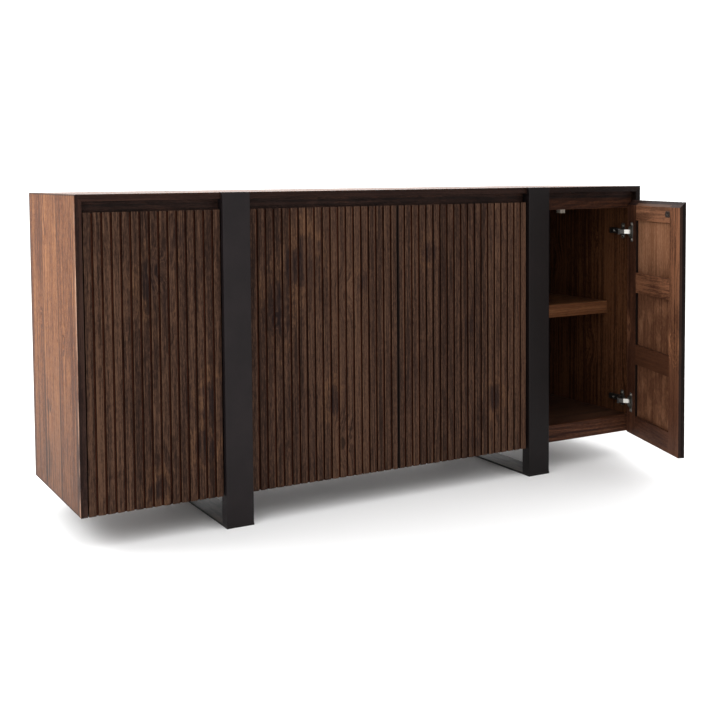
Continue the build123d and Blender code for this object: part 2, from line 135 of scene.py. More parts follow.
def new_material(name):
    """An empty material and its graph."""
    material = bpy.data.materials.new(name)
    material.use_nodes = True
    material.node_tree.nodes.clear()
    return material, Graph(material.node_tree)


def finish_surface(graph, shader, bump_height=None, bump_distance=0.0, easing=None):
    """Connect a Principled shader to the output. bump_height is a field of 0 to 1, bump_distance is its depth
    in metres, and easing is the radius that softens the edges."""
    if bump_height is not None:
        bump = graph.node("Bump", {"Height": bump_height, "Distance": bump_distance, "Strength": 1.0})
        if easing is not None:
            eased = graph.node("Bevel", {"Radius": easing}, samples=4)
            graph.put(bump.inputs["Normal"], eased.outputs["Normal"])
        graph.put(shader.inputs["Normal"], bump.outputs["Normal"])
    graph.node("OutputMaterial", {"Surface": shader.outputs["BSDF"]})


# ---------------------------------------------------------------- wood

KNOT_CELL = (0.17, 0.46)  # one possible knot in each cell: across and along the grain
KNOT_REACH = 0.030
KNOT_HEART = 0.0085
KNOT_STRETCH = 0.45  # a knot's swirl is longer along the grain
KNOT_SIZES = (0.45, 1.25)
KNOT_WOBBLE = 0.012  # how uneven a knot's outline is
JOINT_LINE = 0.0012  # half the width of the dark line between glued boards
BOARD_SHIFTS = (3.0, 3.0, 7.0)  # how far apart in the tree two boards may have been cut
HEART_DEPTH = 0.055  # how far behind the face the rings' heart lies
HEART_CHANCE = (0.09, 0.05)  # how much that place differs from board to board: across, and in depth
HEART_DRIFT = (0.05, 0.09)  # how much it drifts along a board
RING_SPACING = 0.0062
RING_BEND = 0.022  # how far the rings bend round a knot
RING_RIPPLE = 0.007
RING_RISE = (0.0, 0.72)  # in a ring's width: the early wood darkens slowly, and the late wood ends sharply
RING_FALL = (1.0, 0.86)
GRAIN_BEND = 0.02  # how far the grain bends round a knot
PORE_EDGE = (0.60, 0.70)  # the vessel noise where a pore begins and is full

# bumps in a metre of each noise: across the face, through it and along the grain
WOBBLE_SCALE = (60.0, 60.0, 40.0)
DRIFT_SCALE = (2.0, 2.0, 1.3)
RIPPLE_SCALE = (34.0, 34.0, 5.0)
STREAK_SCALE = (110.0, 60.0, 0.9)
FLECK_SCALE = (330.0, 330.0, 85.0)
FIBRE_SCALE = (620.0, 420.0, 11.0)
VESSEL_SCALE = (1500.0, 1500.0, 52.0)
CLOUD_SCALE = (9.0, 9.0, 3.4)
PATCH_SCALE = (7.5, 7.5, 5.5)
SPOT_SCALE = (21.0, 21.0, 12.0)
BLOTCH_SCALE = (26.0, 26.0, 15.0)


def wood_figure():
    """A node group with the figure of glued boards: X across the face, Y through it, Z along the grain."""
    tree = bpy.data.node_groups.new("wood_figure", "ShaderNodeTree")
    sockets = tree.interface
    sockets.new_socket("Vector", in_out="INPUT", socket_type="NodeSocketVector")
    for name in ("Seed", "Board", "Knots"):
        sockets.new_socket(name, in_out="INPUT", socket_type="NodeSocketFloat")
    results = ("Rings", "Streaks", "Flecks", "Fibre", "Pores", "Knot", "Swirl", "Cloud", "Patch", "Joint",
               "Tone")
    for name in results:
        sockets.new_socket(name, in_out="OUTPUT", socket_type="NodeSocketFloat")
    graph = Graph(tree)
    given = tree.nodes.new("NodeGroupInput").outputs
    across, depth = graph.parts(given["Vector"])[:2]

    # each board has its own place in the tree
    place = graph.math("DIVIDE", across, given["Board"])
    board = graph.math("FLOOR", graph.add(place, given["Seed"]))
    ticket = graph.join(board, given["Seed"], 0.0)
    chance = graph.node("TexWhiteNoise", {"Vector": ticket}, noise_dimensions="3D")
    shifts = graph.parts(graph.vector("MULTIPLY", chance.outputs["Color"], BOARD_SHIFTS))
    shifts = graph.join(graph.add(shifts[0], given["Seed"]), shifts[1], shifts[2])
    inside = graph.vector("ADD", given["Vector"], shifts)

    # knots, and how far a point is from the nearest
    cell = (1 / KNOT_CELL[0], 1.0, 1 / KNOT_CELL[1])
    scaled = graph.parts(graph.vector("MULTIPLY", inside, cell))
    flat = graph.join(scaled[0], scaled[2], given["Seed"])
    knots = graph.node("TexVoronoi", {"Vector": flat, "Scale": 1.0}, voronoi_dimensions="2D")
    apart = graph.vector("SUBTRACT", flat, knots.outputs["Position"])
    metres = graph.vector("MULTIPLY", apart, (KNOT_CELL[0], KNOT_CELL[1] * KNOT_STRETCH, 0.0))
    wobble = graph.noise(inside, WOBBLE_SCALE, 1.0)
    wobble = graph.times(graph.add(wobble, -0.5), KNOT_WOBBLE)
    reach = graph.add(graph.vector("LENGTH", metres), wobble)
    lottery = graph.parts(knots.outputs["Color"])
    present = graph.math("LESS_THAN", lottery[0], given["Knots"])
    size = graph.spread(lottery[1], *KNOT_SIZES)
    near = graph.math("DIVIDE", reach, size)
    swirl = graph.times(present, graph.step(near, KNOT_REACH * 1.6, 0.0))
    knot = graph.times(present, graph.step(near, KNOT_HEART * 1.25, KNOT_HEART * 0.75))

    # growth rings round a heart that lies behind the face and drifts along the board
    drift = graph.noise(inside, DRIFT_SCALE, 1.0, output="Color")
    drift = graph.parts(graph.vector("SUBTRACT", drift, (0.5, 0.5, 0.5)))
    on_board = graph.math("FRACT", graph.add(place, given["Seed"]))
    local = graph.times(graph.add(on_board, -0.5), given["Board"])
    heart = graph.parts(graph.vector("SUBTRACT", chance.outputs["Color"], (0.5, 0.5, 0.5)))
    shift, sink = [graph.times(part, most) for part, most in zip(heart, HEART_CHANCE)]
    sway, dip = [graph.times(part, most) for part, most in zip(drift, HEART_DRIFT)]
    side = graph.add(local, shift, sway)
    deep = graph.add(depth, sink, dip, HEART_DEPTH)
    radius = graph.math("SQRT", graph.add(graph.times(side, side), graph.times(deep, deep)))
    ripple = graph.noise(inside, RIPPLE_SCALE)
    radius = graph.add(radius, graph.times(swirl, RING_BEND), graph.times(ripple, RING_RIPPLE))
    wave = graph.math("FRACT", graph.math("DIVIDE", radius, RING_SPACING))
    rings = graph.times(graph.step(wave, *RING_RISE), graph.step(wave, *RING_FALL))

    # streaks, fibres and pores run along the grain and bend round the knots
    bent = graph.vector("ADD", inside, graph.join(graph.times(swirl, GRAIN_BEND), 0.0, 0.0))
    streaks = graph.noise(bent, STREAK_SCALE, 3.0, 0.6)
    flecks = graph.noise(bent, FLECK_SCALE, 3.0, 0.7)
    fibre = graph.noise(bent, FIBRE_SCALE, 3.0, 0.65)
    vessel = graph.noise(bent, VESSEL_SCALE, 1.0)
    cloud = graph.noise(inside, CLOUD_SCALE, 3.0, 0.55)
    patch = graph.noise(bent, PATCH_SCALE, 5.0, 0.6)
    patch = graph.add(patch, graph.times(swirl, 0.14))

    made = tree.nodes.new("NodeGroupOutput").inputs
    pores = graph.step(vessel, *PORE_EDGE)
    from_middle = graph.math("ABSOLUTE", local)
    to_joint = graph.add(graph.times(given["Board"], 0.5), graph.times(from_middle, -1.0))
    lightness = chance.outputs["Value"]
    values = (rings, streaks, flecks, fibre, pores, knot, swirl, cloud, patch, to_joint, lightness)
    for name, value in zip(results, values):
        graph.put(made[name], value)
    return tree


FIGURE = wood_figure()


class Surface:
    """Where a piece's material is: its coordinates and normals in a frame that moves with the piece."""

    def __init__(self, graph, turn=None):
        """turn is the pivot and the angle that take a door from where it rests to closed."""
        source = graph.node("TexCoord").outputs
        self.point, self.normal = source["Object"], source["Normal"]
        if turn is not None:
            place, angle = turn
            back = Matrix.Rotation(angle, 3, "Z") @ -Vector(place)
            inputs = {"Vector": self.point, "Location": back, "Rotation": (0, 0, angle)}
            self.point = graph.node("Mapping", inputs).outputs[0]
            inputs = {"Vector": self.normal, "Rotation": (0, 0, angle)}
            self.normal = graph.node("Mapping", inputs, vector_type="VECTOR").outputs[0]
        self.graph = graph

    def ordered(self, order):
        """The point with its fields in another order, such as YXZ."""
        fields = self.graph.parts(self.point)
        return self.graph.join(*[fields[FIELDS.index(letter)] for letter in order])

    def facing(self, direction, low=0.55, high=0.85):
        """1 where the surface faces a direction."""
        return self.graph.step(self.graph.vector("DOT_PRODUCT", self.normal, direction), low, high)


def figure_of(graph, vector, seed, board, knots):
    """The outputs of a wood_figure group. board is the boards' width in metres, and knots is the share of
    places that have one."""
    made = graph.tree.nodes.new("ShaderNodeGroup")
    made.node_tree = FIGURE
    for name, value in (("Vector", vector), ("Seed", seed), ("Board", board), ("Knots", knots)):
        graph.put(made.inputs[name], value)
    return made.outputs


def wood_value(graph, figure, contrast, variety, rings, swirl):
    """0 to 1 from dark to light wood, from the figure."""
    parts = [graph.times(graph.add(figure[name], -0.5), share) for name, share in contrast.items()]
    value = graph.add(
        *parts,
        graph.times(graph.add(figure["Rings"], -0.4), -rings),
        graph.times(graph.add(figure["Tone"], -0.5), variety),
        graph.times(figure["Swirl"], swirl),
        0.5,
    )
    return graph.math("MULTIPLY", value, 1.0, clamp=True)


def wood_colour(graph, figure, value, tones):
    """Dark, middle and light tones, with pores and knots."""
    dark, middle, light = tones
    colour = graph.mix(graph.step(value, 0.0, 0.55), dark, middle)
    colour = graph.mix(graph.step(value, 0.45, 1.0), colour, light)
    colour = graph.mix(graph.times(figure["Pores"], 0.45), colour, dark)
    joint = graph.step(figure["Joint"], JOINT_LINE, JOINT_LINE * 0.4)
    colour = graph.mix(graph.times(joint, 0.6), colour, dark)
    shade = [part * 0.35 for part in dark[:3]] + [1.0]
    return graph.mix(graph.times(figure["Knot"], 0.85), colour, shade)


# how much each part of the figure shows
CALM = {"Streaks": 0.9, "Flecks": 0.9, "Fibre": 1.0, "Cloud": 1.7}
PLAIN = {"Streaks": 1.5, "Flecks": 0.8, "Fibre": 0.9, "Cloud": 0.9}
LIVELY = {"Streaks": 2.0, "Flecks": 1.1, "Fibre": 1.2, "Cloud": 1.2}
SIDES = {"Streaks": 2.9, "Flecks": 2.0, "Fibre": 3.2, "Cloud": 0.9}
FLECKED = {"Streaks": 1.6, "Flecks": 1.9, "Fibre": 2.0, "Cloud": 0.5}
RELIEF = {"Fibre": 0.5, "Pores": -0.6, "Rings": -0.15}  # what stands out of the surface, and what is sunk
RELIEF_DEPTH = 0.00035


def wood(name, tones, order, seed=0.0, board=0.09, knots=0.12, contrast=PLAIN, variety=0.3, rings=0.2,
         swirl=0.1, turn=None, stains_and_painted_light=(), gloss=0.12, roughness=0.48, easing=0.0008):
    """Oiled, stained wood. order is the face's across, through and grain directions. Each stain, painted
    light and painted shade is a pair of tones, how strong it is, and a function of the surface and the figure
    that says where it is. A later one lies over an earlier one."""
    material, graph = new_material(name)
    surface = Surface(graph, turn)
    figure = figure_of(graph, surface.ordered(order), seed, board, knots)
    value = wood_value(graph, figure, contrast, variety, rings, swirl)
    colour = wood_colour(graph, figure, value, tones)
    for painted_tones, strength, where in stains_and_painted_light:
        painted_colour = graph.mix(graph.step(value, 0.1, 0.9), painted_tones[0], painted_tones[1])
        colour = graph.mix(graph.times(where(surface, figure), strength), colour, painted_colour)
    dull = graph.add(graph.times(figure["Fibre"], 0.16), graph.times(figure["Pores"], 0.18), roughness - 0.08)
    inputs = {"Base Color": colour, "Roughness": dull, "Specular IOR Level": gloss}
    shader = graph.node("BsdfPrincipled", inputs)
    height = graph.add(*[graph.times(figure[name], share) for name, share in RELIEF.items()])
    finish_surface(graph, shader, height, RELIEF_DEPTH, easing)
    return material


# ---------------------------------------------------------------- metals and plastic

# bumps in a metre
PEBBLE_SCALE = 900.0
SMUDGE_SCALE = 9.0
REFLECTION_STREAK_SCALE = (60.0, 14.0, 60.0)
BRUSHED_SCALE = (160.0, 160.0, 2600.0)
TARNISH_SCALE = 120.0
GRAIN_SCALE = 1400.0
MILKY_SCALE = 60.0
# how deep they are
PEBBLE_DEPTH = 0.00012
DEEP_SCRATCH = 0.00003
FINE_SCRATCH = 0.00002
GRAIN_DEPTH = 0.00005
STEEL_EASING = 0.0012  # the radius that softens the edges of coated steel


def powder_coat(name, colour, roughness, worn_and_reflected=None):
    """Matte powder coat: a fine pebble, with faint rubbed patches. The last argument is a pair of tones that
    mottle its
    upper face in streaks from front to back: a painted reflection of the wood above."""
    material, graph = new_material(name)
    point = graph.node("TexCoord").outputs["Object"]
    pebble = graph.noise(point, PEBBLE_SCALE)
    smudge = graph.noise(point, SMUDGE_SCALE, 4.0, 0.6)
    lighter = [min(1.0, part * 1.7) for part in colour[:3]] + [1.0]
    rubbed = graph.times(graph.step(smudge, 0.35, 0.75), graph.spread(pebble, 0.2, 1.0))
    tint = graph.mix(rubbed, colour, lighter)
    if worn_and_reflected is not None:
        # painted reflection of the wood above, on the upper face
        streak = graph.noise(point, REFLECTION_STREAK_SCALE, 5.0, 0.65)
        mottled = graph.mix(graph.step(streak, 0.35, 0.68), worn_and_reflected[0], worn_and_reflected[1])
        up = graph.vector("DOT_PRODUCT", graph.node("TexCoord").outputs["Normal"], (0, 0, 1))
        tint = graph.mix(graph.times(graph.step(up, 0.5, 0.9), 0.9), tint, mottled)
    dull = graph.add(graph.times(smudge, 0.14), graph.times(pebble, 0.08), roughness - 0.11)
    inputs = {"Base Color": tint, "Roughness": dull, "Specular IOR Level": 0.16}
    shader = graph.node("BsdfPrincipled", inputs)
    finish_surface(graph, shader, pebble, PEBBLE_DEPTH, STEEL_EASING)
    return material


def plated(name, colour, roughness, scratch):
    """Plated steel with fine brush marks as deep as scratch."""
    material, graph = new_material(name)
    point = graph.node("TexCoord").outputs["Object"]
    brushed = graph.noise(point, BRUSHED_SCALE)
    tarnish = graph.noise(point, TARNISH_SCALE, 3.0)
    darker = [part * 0.72 for part in colour[:3]] + [1.0]
    tint = graph.mix(graph.step(tarnish, 0.40, 0.72), colour, darker)
    dull = graph.add(graph.times(brushed, 0.16), graph.times(tarnish, 0.12), roughness - 0.12)
    shader = graph.node("BsdfPrincipled", {"Base Color": tint, "Roughness": dull, "Metallic": 1.0})
    finish_surface(graph, shader, brushed, scratch)
    return material


def plated_link(name, pin, bright, dark, reach):
    """Bright plated steel, with painted shade within reach of the pin, where the arm's cheeks cover it."""
    material, graph = new_material(name)
    point = graph.node("TexCoord").outputs["Object"]
    apart = graph.vector("MULTIPLY", graph.vector("SUBTRACT", point, pin), (1.0, 1.0, 0.0))
    covered = graph.step(graph.vector("LENGTH", apart), reach * 1.05, reach * 0.95)
    brushed = graph.noise(point, BRUSHED_SCALE)
    tint = graph.mix(covered, bright, dark)
    dull = graph.spread(brushed, 0.25, 0.42)
    shader = graph.node("BsdfPrincipled", {"Base Color": tint, "Roughness": dull, "Metallic": 1.0})
    finish_surface(graph, shader, brushed, FINE_SCRATCH)
    return material


def moulded(name, colour):
    """Moulded plastic with a fine grain."""
    material, graph = new_material(name)
    point = graph.node("TexCoord").outputs["Object"]
    grain = graph.noise(point, GRAIN_SCALE)
    milky = graph.noise(point, MILKY_SCALE)
    darker = [part * 0.78 for part in colour[:3]] + [1.0]
    tint = graph.mix(graph.step(milky, 0.3, 0.8), colour, darker)
    dull = graph.spread(grain, 0.38, 0.55)
    shader = graph.node("BsdfPrincipled", {"Base Color": tint, "Roughness": dull})
    finish_surface(graph, shader, grain, GRAIN_DEPTH)
    return material


# ---------------------------------------------------------------- the case

# the dark, middle and light tones of each wood
CASE_TONES = (tone(72, 37, 18), tone(113, 68, 38), tone(146, 98, 60))
INSIDE_TONES = (tone(40, 21, 12), tone(76, 47, 29), tone(114, 78, 50))
BACK_TONES = (tone(21, 13, 10), tone(35, 23, 16), tone(50, 33, 24))
FLOOR_TONES = (tone(32, 18, 13), tone(60, 39, 28), tone(90, 62, 44))
RAIL_TONES = (tone(34, 18, 12), tone(64, 38, 26), tone(98, 63, 43))
TOP_RAIL_TONES = (tone(28, 18, 15), tone(47, 31, 26), tone(68, 45, 36))
SHELF_EDGE_TONES = (tone(62, 36, 21), tone(88, 54, 33), tone(112, 74, 48))
REED_TONES = (tone(32, 20, 15), tone(58, 40, 31), tone(82, 59, 45))
FRAME_TONES = (tone(36, 19, 13), tone(72, 44, 31), tone(126, 84, 60))
# the dark and light tones of each stain, painted light, painted highlight and painted shade
EDGE_STAIN = (tone(24, 14, 12), tone(42, 26, 22))
# the grooves' dark stain and painted shade
GROOVE_STAIN_AND_SHADE = (tone(30, 8, 2), tone(50, 18, 6))
CURL_STAIN = (tone(112, 70, 44), tone(190, 132, 92))
# painted highlight on the reeds' edges
REED_EDGE_HIGHLIGHT_TONES = (tone(46, 31, 23), tone(94, 69, 52))
PATCH_STAIN = (tone(22, 14, 14), tone(40, 28, 26))
EMBER_STAIN = (tone(56, 37, 26), tone(104, 74, 52))
PANEL_STAIN = (tone(78, 48, 33), tone(108, 72, 52))
# pale panel veneer, and painted light on the upper panels and the top rails
PALE_PANEL_AND_PAINTED_LIGHT = (tone(132, 90, 64), tone(162, 118, 90))
# painted shade on the frames' lower parts
LOW_FRAME_PAINTED_SHADE = (tone(50, 28, 19), tone(84, 52, 37))
# black stain on the doors' edges, and painted shade in the seam, the inner strip and the front edges to the
# right
BLACK_STAIN_AND_SHADE = (tone(11, 7, 6), tone(22, 14, 12))
# a darker door rail's own tone, and painted light on the top rail's lower part
RAIL_TONE_AND_PAINTED_LIGHT = (tone(36, 19, 12), tone(70, 42, 28))
# painted shade towards the floor
PAINTED_LOW_SHADE_TONES = (tone(66, 40, 28), tone(94, 62, 44))
CHIP_STAIN = (tone(170, 130, 106), tone(204, 176, 154))
ARRIS_STAIN = (tone(34, 20, 15), tone(52, 32, 24))

LOW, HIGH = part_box("side_panel_left")
CASE_FRONT, REAR = LOW[1], HIGH[1]
CASE_BOTTOM, CASE_TOP = LOW[2], HIGH[2]
RAIL_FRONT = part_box("top_rail")[0][1]
RAIL_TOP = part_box("top_rail")[1][2]

# where each stain, painted light and painted shade begins and where it is full: distances from an edge or a
# joint
REAR_RIM = (0.016, 0.006)
BOTTOM_RIM = (0.006, 0.003)
TOP_RIM = (0.005, 0.003)
FRONT_RIM = (0.026, 0.008)
FRONT_CHIPS = (0.012, 0.006)
GLUE_STAIN = (0.0065, 0.0020)
PAINTED_LIGHT_RAIL_REACH = (0.014, 0.024)
PAINTED_LOW_SHADE_HEIGHTS = (0.50, -0.05)
# the same as heights over the floor, and as places from left to right in the row frame
FRONT_RIM_HEIGHTS = (0.42, 0.24)
GLUE_HEIGHTS = (0.60, 0.20)
SHADED_FRONTS = ((-0.8, 0.2), (0.40, 0.60))
PAINTED_LIGHT_RAIL_PLACE = (0.50, 0.54)

SPOT_UNEVENNESS = 4.2  # how strongly noise moves a spot's outline, in the spot's own reach
# where a stain round a spot begins and where it is full, in the spot's own reach
SPOT_HEART = (1.35, 0.45)
SPOT_RIM_INSIDE = (1.05, 1.35)
SPOT_RIM_OUTSIDE = (2.10, 1.55)
KNOT_CURLS = (3.4, 1.6)
FAR = 9.0  # farther than any stain round a spot goes
# three small knots on each side: Y, Z, and their reach along Y and Z
SIDE_SPOTS = ((0.060, 0.306, 0.024, 0.014), (0.070, 0.180, 0.036, 0.034), (0.080, 0.130, 0.026, 0.020))


def set_material(name, material):
    """Give a CAD node its only material."""
    NODES[name].data.materials.clear()
    NODES[name].data.materials.append(material)


def front_edge(surface, figure):
    """1 on the faces that look to the front."""
    return surface.facing((0, -1, 0))


def faces(direction):
    """A stain on the faces that look one way."""
    return lambda surface, figure: surface.facing(direction, 0.8, 0.95)


def along(surface, letter, low, high):
    """0 below low and 1 above high of one coordinate; low may be above high."""
    return surface.graph.step(surface.graph.parts(surface.point)[FIELDS.index(letter)], low, high)


def shaded_inner_band(surface, figure):
    """Painted shade on the strip of the case's inner faces in front of the rails."""
    return along(surface, "Y", RAIL_FRONT + SHARP, RAIL_FRONT - SHARP)


def spot_distance(surface, spots, order="XYZ"):
    """How far a point is from the nearest spot, in the spot's own reach, with an uneven outline. A spot is
    its place across the face, its height, and its reach across and up. A door's places are from its pivot."""
    graph = surface.graph
    uneven = graph.noise(surface.point, SPOT_SCALE, 5.0, 0.68)
    nearest = FAR
    for across, height, reach, rise in spots:
        apart = graph.vector("SUBTRACT", surface.ordered(order), (across, 0.0, height))
        apart = graph.vector("MULTIPLY", apart, (1 / reach, 0.0, 1 / rise))
        nearest = graph.math("MINIMUM", nearest, graph.vector("LENGTH", apart))
    return graph.add(nearest, graph.times(graph.add(uneven, -0.5), SPOT_UNEVENNESS))


def spots_heart(spots, order="XYZ"):
    """1 inside the spots, streaked like the wood round them."""
    def heart(surface, figure):
        graph = surface.graph
        inside = graph.step(spot_distance(surface, spots, order), *SPOT_HEART)
        return graph.times(inside, graph.step(figure["Streaks"], 0.70, 0.35))
    return heart


def outer_rims(surface, figure):
    """Thin dark lines along a side's rear, lower and upper edges, and worn patches low on its front edge."""
    graph = surface.graph
    rear = along(surface, "Y", REAR - REAR_RIM[0], REAR - REAR_RIM[1])
    low = along(surface, "Z", CASE_BOTTOM + BOTTOM_RIM[0], CASE_BOTTOM + BOTTOM_RIM[1])
    high = along(surface, "Z", CASE_TOP - TOP_RIM[0], CASE_TOP - TOP_RIM[1])
    front = along(surface, "Y", CASE_FRONT + FRONT_RIM[0], CASE_FRONT + FRONT_RIM[1])
    worn_and_reflected = graph.step(figure["Cloud"], 0.58, 0.44)
    front = graph.times(front, along(surface, "Z", *FRONT_RIM_HEIGHTS), worn_and_reflected)
    upright = graph.math("MAXIMUM", rear, front)
    return graph.math("MAXIMUM", upright, graph.math("MAXIMUM", low, high))


def front_chips(surface, figure):
    """Small pale chips along the front edge."""
    near = along(surface, "Y", CASE_FRONT + FRONT_CHIPS[0], CASE_FRONT + FRONT_CHIPS[1])
    return surface.graph.times(near, surface.graph.step(figure["Cloud"], 0.42, 0.55))


def glue_lines(surface, figure):
    """Dark lines where the boards of a side meet, stronger towards the floor."""
    line = surface.graph.step(figure["Joint"], *GLUE_STAIN)
    return surface.graph.times(line, surface.graph.add(along(surface, "Z", *GLUE_HEIGHTS), 0.6))


def knot_rims(surface, figure):
    """The wood that swirls round the knots."""
    return surface.graph.step(figure["Swirl"], 0.30, 0.75)


def painted_low_shade(surface, figure):
    """1 towards the floor, and 0 half a metre up: painted shade, mottled by the figure's clouds."""
    fade = along(surface, "Z", CASE_BOTTOM + PAINTED_LOW_SHADE_HEIGHTS[0], CASE_BOTTOM + PAINTED_LOW_SHADE_HEIGHTS[1])
    return surface.graph.times(fade, surface.graph.spread(figure["Cloud"], 0.5, 1.3))


def shaded_front_right(surface, figure):
    """Painted shade on the front edges, darker towards the right."""
    right = surface.graph.add(*[along(surface, "X", *places) for places in SHADED_FRONTS])
    return surface.graph.times(front_edge(surface, figure), right, 0.5)


def painted_light_rail(surface, figure):
    """Painted light on the lower part of the top rail over the open door."""
    low = along(surface, "Z", RAIL_TOP - PAINTED_LIGHT_RAIL_REACH[0], RAIL_TOP - PAINTED_LIGHT_RAIL_REACH[1])
    return surface.graph.times(low, along(surface, "X", *PAINTED_LIGHT_RAIL_PLACE))


for index, (side, inward) in enumerate((("left", 1), ("right", -1))):
    stains_and_painted_light = [
        # painted shade, darker towards the floor
        (PAINTED_LOW_SHADE_TONES, 0.85, painted_low_shade),
        (ARRIS_STAIN, 0.55, glue_lines),
        (CASE_TONES[:2], 0.7, knot_rims),
        (ARRIS_STAIN, 0.9, spots_heart(SIDE_SPOTS, "YXZ")),
        (ARRIS_STAIN, 0.7, outer_rims),
        (CHIP_STAIN, 0.4, front_chips),
        (INSIDE_TONES[:2], 0.95, faces((inward, 0, 0))),
        (EDGE_STAIN, 0.97, front_edge),
    ]
    # the right side also gets painted shade: on the inner strip in front of the rails, and on its front edge
    if side == "right":
        stains_and_painted_light += [(BLACK_STAIN_AND_SHADE, 0.9, shaded_inner_band), (BLACK_STAIN_AND_SHADE, 0.8, front_edge)]
    material = wood(f"wood_side_{side}", CASE_TONES, "YXZ", seed=3.361 + 5 * index, board=0.155, knots=0.5,
                    contrast=SIDES, variety=0.35, rings=0.05, stains_and_painted_light=stains_and_painted_light, gloss=0.06)
    set_material(f"side_panel_{side}", material)
    material = wood(f"wood_divider_{side}", INSIDE_TONES, "YXZ", seed=11.4 + index, board=0.12)
    set_material(f"dividers_{side}", material)

# painted shade on the top's front edges, darker towards the right
stains_and_painted_light = [(INSIDE_TONES[:2], 0.95, faces((0, 0, -1))), (EDGE_STAIN, 0.97, front_edge),
          (BLACK_STAIN_AND_SHADE, 0.9, shaded_front_right)]
set_material("top_panel", wood("wood_top", CASE_TONES, "YZX", seed=21.7, board=0.116, knots=0.12, rings=0.15,
                               stains_and_painted_light=stains_and_painted_light, gloss=0.06, roughness=0.27))
set_material("bottom_panel", wood("wood_bottom", FLOOR_TONES, "YZX", seed=31.1, board=0.11))
set_material("back_panel", wood("wood_back", BACK_TONES, "XYZ", seed=41.9, board=0.21, knots=0.1))
set_material("rear_posts", wood("wood_posts", INSIDE_TONES, "XYZ", seed=47.3, board=0.2, knots=0.0))
# painted shade on the front edges to the right, and painted light on the rail's lower part
stains_and_painted_light = [(BLACK_STAIN_AND_SHADE, 0.45, shaded_front_right), (RAIL_TONE_AND_PAINTED_LIGHT, 0.95, painted_light_rail)]
set_material("top_rail", wood("wood_top_rail", TOP_RAIL_TONES, "ZYX", seed=51.6, board=0.3, knots=0.0,
                              contrast=LIVELY, stains_and_painted_light=stains_and_painted_light, gloss=0.08))
set_material("bottom_rail", wood("wood_bottom_rail", RAIL_TONES, "ZYX", seed=53.8, board=0.3, knots=0.0,
                                 contrast=LIVELY, gloss=0.06))
set_material("mullions", wood("wood_mullions", TOP_RAIL_TONES, "XYZ", seed=57.2, board=0.2, knots=0.0))
for index, name in enumerate(("shelf_left", "shelf_centre", "shelf_right")):
    set_material(name, wood(f"wood_{name}", INSIDE_TONES, "YZX", seed=61.5 + index, board=0.13))
set_material("shelf_front_edges", wood("wood_shelf_edge", SHELF_EDGE_TONES, "ZYX", seed=67.9, board=0.2,
                                       knots=0.0))

# ---------------------------------------------------------------- the doors

RAIL_SPACING = 0.226
DARK_RAIL = (0.30, 0.38)  # the lowest and highest Z of the door rail that is darker than the others
# the heights where painted light and painted shade begin and where they are full
PAINTED_LIGHT_PANEL_HEIGHTS = (0.56, 0.68)
PAINTED_LIGHT_TOP_RAIL_HEIGHTS = (0.76, 0.78)
PAINTED_SHADE_FRAME_HEIGHTS = (0.62, 0.22)
PIVOT_INSET = 0.005  # from a closed door's edge to its pivot, across
CENTRE_DOOR = 0.442  # from a centre door's pivot to the middle of the case
SEAM_SHADE_REACH = (0.0055, 0.0040)  # how near the middle of the case the painted shade in the seam begins and is full
GROOVE = (0.0010, 0.0034)  # how far behind the pivots' plane the groove's dark stain and painted shade begin and are full
REED_SHARE = 0.758  # the part of a reed's spacing that is reed; the rest is groove
REED_HIGHLIGHT_PLACE = (0.27, 0.33)  # how far from a reed's middle the painted highlight on its edges lies, in spacings
CURL_SCALE = (2.2, 1.0, 9.0)  # bumps outwards in the knot's reach, and in a metre along the stile
SIDE_REED = 0.35675 / 15  # the spacing of the reeds: a door's width over their number
CENTRE_REED = 0.45125 / 19


def joint_called(name):
    """A joint's entry in the frame."""
    return next(joint for joint in frame["joints"] if joint["name"] == name)


def closing_turn(number):
    """The pivot, and the turn that takes the door from where it rests to closed."""
    joint = joint_called(f"door_{number}_hinge")
    angle = radians(joint["range_deg"][0]) * joint["axis"][2]
    return Vector(joint["pos_m"]), angle


def groove(surface, figure):
    """1 in the grooves between the reeds, which hold dark stain and painted shade."""
    forward = surface.facing((0, 1, 0), 0.2, -0.2)
    return surface.graph.times(along(surface, "Y", *GROOVE), forward)


def door_rim(surface, figure):
    """1 on a door's narrow edges."""
    across = surface.graph.parts(surface.normal)[0]
    return surface.graph.step(surface.graph.math("ABSOLUTE", across), 0.85, 0.96)


def bevel_band(surface, figure):
    """1 on the sloping top edge."""
    return surface.facing((0, 0.6, 0.8), 0.8, 0.93)


def rear_face(surface, figure):
    """1 on the face that looks into the case."""
    return surface.facing((0, 1, 0), 0.9, 0.97)


def painted_light_panel(surface, figure):
    """Painted light on the upper recessed panel."""
    return surface.graph.times(rear_face(surface, figure), along(surface, "Z", *PAINTED_LIGHT_PANEL_HEIGHTS))


def dark_rail(surface, figure):
    """The darkest rail of a door's frame."""
    low, high = DARK_RAIL
    above = along(surface, "Z", low, low + SHARP)
    return surface.graph.times(above, along(surface, "Z", high, high - SHARP))


def painted_light_top_rail(surface, figure):
    """Painted light on the frame's uppermost rail."""
    return along(surface, "Z", *PAINTED_LIGHT_TOP_RAIL_HEIGHTS)


def painted_low_frame_shade(surface, figure):
    """Painted shade on the frame's darker lower part."""
    return along(surface, "Z", *PAINTED_SHADE_FRAME_HEIGHTS)


def dark_patch(surface, figure):
    """Dark patches that the figure scatters over the reeds."""
    return surface.graph.step(figure["Patch"], 0.56, 0.66)


def spots_rim(spots):
    """Paler curls round the spots."""
    def rim(surface, figure):
        graph = surface.graph
        distance = spot_distance(surface, spots)
        ring = graph.times(graph.step(distance, *SPOT_RIM_INSIDE), graph.step(distance, *SPOT_RIM_OUTSIDE))
        return graph.times(ring, graph.step(figure["Cloud"], 0.40, 0.58))
    return rim


